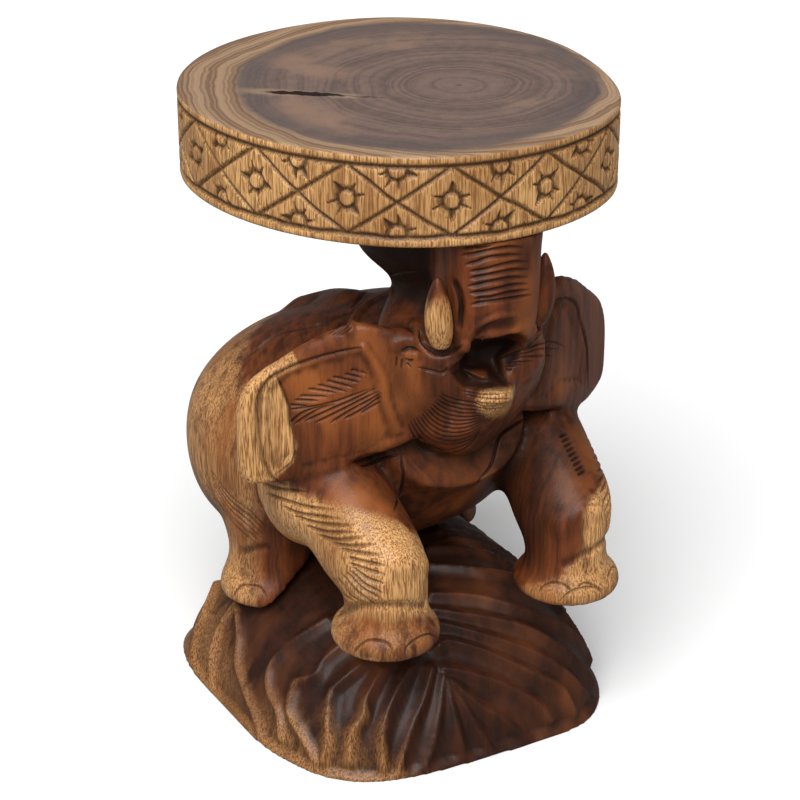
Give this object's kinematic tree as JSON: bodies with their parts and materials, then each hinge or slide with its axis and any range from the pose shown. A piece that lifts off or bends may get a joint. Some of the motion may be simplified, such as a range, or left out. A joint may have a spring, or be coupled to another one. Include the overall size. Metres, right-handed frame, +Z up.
{
  "type": "carved elephant stool",
  "caption": "Low wooden stool: a round log slice with a carved diamond and flower band, held up by a crouching elephant with raised trunk on a domed mound.",
  "frame": {"origin": "middle of the underside of the mound, on the floor under the middle of the seat", "axes": "+Z up, the elephant faces -Y, its own right side is -X"},
  "size_m": [0.3332, 0.3505, 0.508],
  "materials": {
    "seat_wood": "satin lacquer over end grain, paler sapwood band round the edge",
    "elephant_wood": "satin lacquer over red-brown heartwood and golden sapwood",
    "mound_wood": "satin lacquer over red-brown heartwood and golden sapwood",
    "dowel_wood": "bare hardwood, glued"
  },
  "bodies": {
    "root": {"seat_slab": "seat_wood", "base_mound": "mound_wood", "torso": "elephant_wood", "head": "elephant_wood", "trunk": "elephant_wood", "lower_jaw": "elephant_wood", "tail": "elephant_wood", "right_hind_leg": "elephant_wood", "left_hind_leg": "elephant_wood", "right_foreleg": "elephant_wood", "left_foreleg": "elephant_wood", "right_ear": "elephant_wood", "left_ear": "elephant_wood", "right_tusk": "elephant_wood", "left_tusk": "elephant_wood", "right_crown_dowel": "dowel_wood", "left_crown_dowel": "dowel_wood", "trunk_dowel": "dowel_wood", "right_neck_dowel": "dowel_wood", "left_neck_dowel": "dowel_wood", "right_shoulder_dowel": "dowel_wood", "left_shoulder_dowel": "dowel_wood", "right_hind_dowel": "dowel_wood", "left_hind_dowel": "dowel_wood", "belly_dowel": "dowel_wood", "right_upper_ear_pin": "dowel_wood", "left_upper_ear_pin": "dowel_wood", "right_lower_ear_pin": "dowel_wood", "left_lower_ear_pin": "dowel_wood", "jaw_pin": "dowel_wood", "right_tusk_pin": "dowel_wood", "left_tusk_pin": "dowel_wood", "tail_pin": "dowel_wood"}
  },
  "joints": []
}
